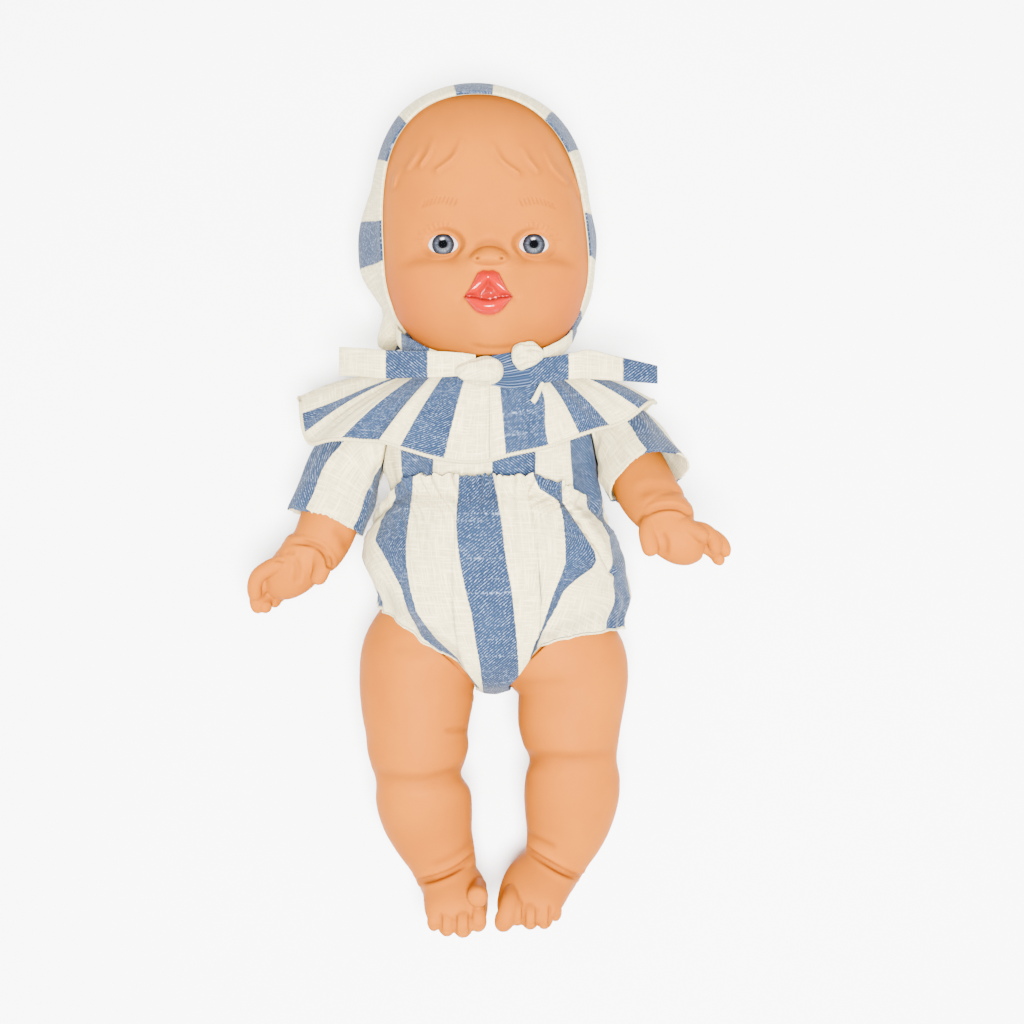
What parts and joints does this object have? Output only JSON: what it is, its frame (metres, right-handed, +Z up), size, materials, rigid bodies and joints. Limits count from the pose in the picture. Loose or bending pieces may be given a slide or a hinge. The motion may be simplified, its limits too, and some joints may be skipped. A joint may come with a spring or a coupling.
{
  "type": "interactive baby doll",
  "caption": "Vinyl baby doll with inset eyes, turning head, arms and legs, a press-button sound module in its body, and a striped cloth bonnet, ruffled blouse and bloomers.",
  "frame": {"origin": "on the floor, at the flat rest face under the seat of the bloomers, on the doll's middle plane", "axes": "+X to the doll's left, +Y to its crown, +Z up from the floor to the face of the doll lying on its back"},
  "size_m": [0.1807, 0.3349, 0.1083],
  "materials": {
    "skin_vinyl": "soft satin vinyl",
    "eye_white": "polished",
    "iris": "printed disc",
    "pupil": "polished",
    "cornea": "clear, polished",
    "module_plastic": "moulded",
    "striped_cloth": "woven blue and white stripes",
    "white_trim": "woven, overlocked",
    "elastic": "covered elastic",
    "steel": "plated",
    "circuit_green": "lacquered board",
    "dark_plastic": "moulded",
    "wire_sleeve": "insulated wire",
    "button_plastic": "moulded"
  },
  "bodies": {
    "torso": {"torso_shell": "skin_vinyl", "blouse_bodice": "striped_cloth", "collar_ruffle": "striped_cloth", "blouse_snaps": "steel", "neck_tape": "white_trim", "bloomers": "striped_cloth", "waist_elastic": "elastic", "left_leg_elastic": "elastic", "right_leg_elastic": "elastic", "left_tie": "striped_cloth", "right_tie": "striped_cloth", "tie_knot": "striped_cloth", "chin_knot": "striped_cloth", "module_housing": "module_plastic", "clamp_frame": "module_plastic", "battery_door": "module_plastic", "door_screw": "steel", "button_cells": "steel", "battery_contacts": "steel", "circuit_board": "circuit_green", "sound_chip": "dark_plastic", "tact_switch": "dark_plastic", "speaker_frame": "dark_plastic", "speaker_cone": "dark_plastic", "speaker_magnet": "steel", "speaker_wires": "wire_sleeve", "button_spring": "steel"},
    "head": {"head_shell": "skin_vinyl", "left_eye_white": "eye_white", "right_eye_white": "eye_white", "left_iris": "iris", "right_iris": "iris", "eye_pupils": "pupil", "left_cornea": "cornea", "right_cornea": "cornea", "eye_retainers": "module_plastic", "bonnet_hood": "striped_cloth", "bonnet_hem": "white_trim"},
    "left_arm": {"left_arm": "skin_vinyl", "left_sleeve": "striped_cloth", "left_collar_lobe": "striped_cloth"},
    "right_arm": {"right_arm": "skin_vinyl", "right_sleeve": "striped_cloth", "right_collar_lobe": "striped_cloth"},
    "left_leg": {"left_leg": "skin_vinyl"},
    "right_leg": {"right_leg": "skin_vinyl"},
    "tummy_button": {"press_button": "button_plastic"}
  },
  "joints": [
    {"name": "neck_turn", "type": "hinge", "parent": "torso", "child": "head", "pos_m": [0, 0.0704, 0.045], "axis": [0, 1, 0], "range_deg": [-90, 90]},
    {"name": "shoulder_left", "type": "hinge", "parent": "torso", "child": "left_arm", "pos_m": [0.04, 0.041, 0.04], "axis": [-0.9781, -0.2079, 0], "range_deg": [-64, 25]},
    {"name": "shoulder_right", "type": "hinge", "parent": "torso", "child": "right_arm", "pos_m": [-0.04, 0.041, 0.04], "axis": [-0.9781, 0.2079, 0], "range_deg": [-26, 69]},
    {"name": "hip_left", "type": "hinge", "parent": "torso", "child": "left_leg", "pos_m": [0.0265, -0.043, 0.038], "axis": [-0.6947, 0.7193, 0], "range_deg": [-8, 100]},
    {"name": "hip_right", "type": "hinge", "parent": "torso", "child": "right_leg", "pos_m": [-0.0265, -0.043, 0.038], "axis": [-0.6947, -0.7193, 0], "range_deg": [-8, 100]},
    {"name": "tummy_press", "type": "slide", "parent": "torso", "child": "tummy_button", "axis": [0, 0, -1], "range_m": [0, 0.002], "stiffness_N_per_m": 900, "deforming": ["button_spring"]}
  ]
}
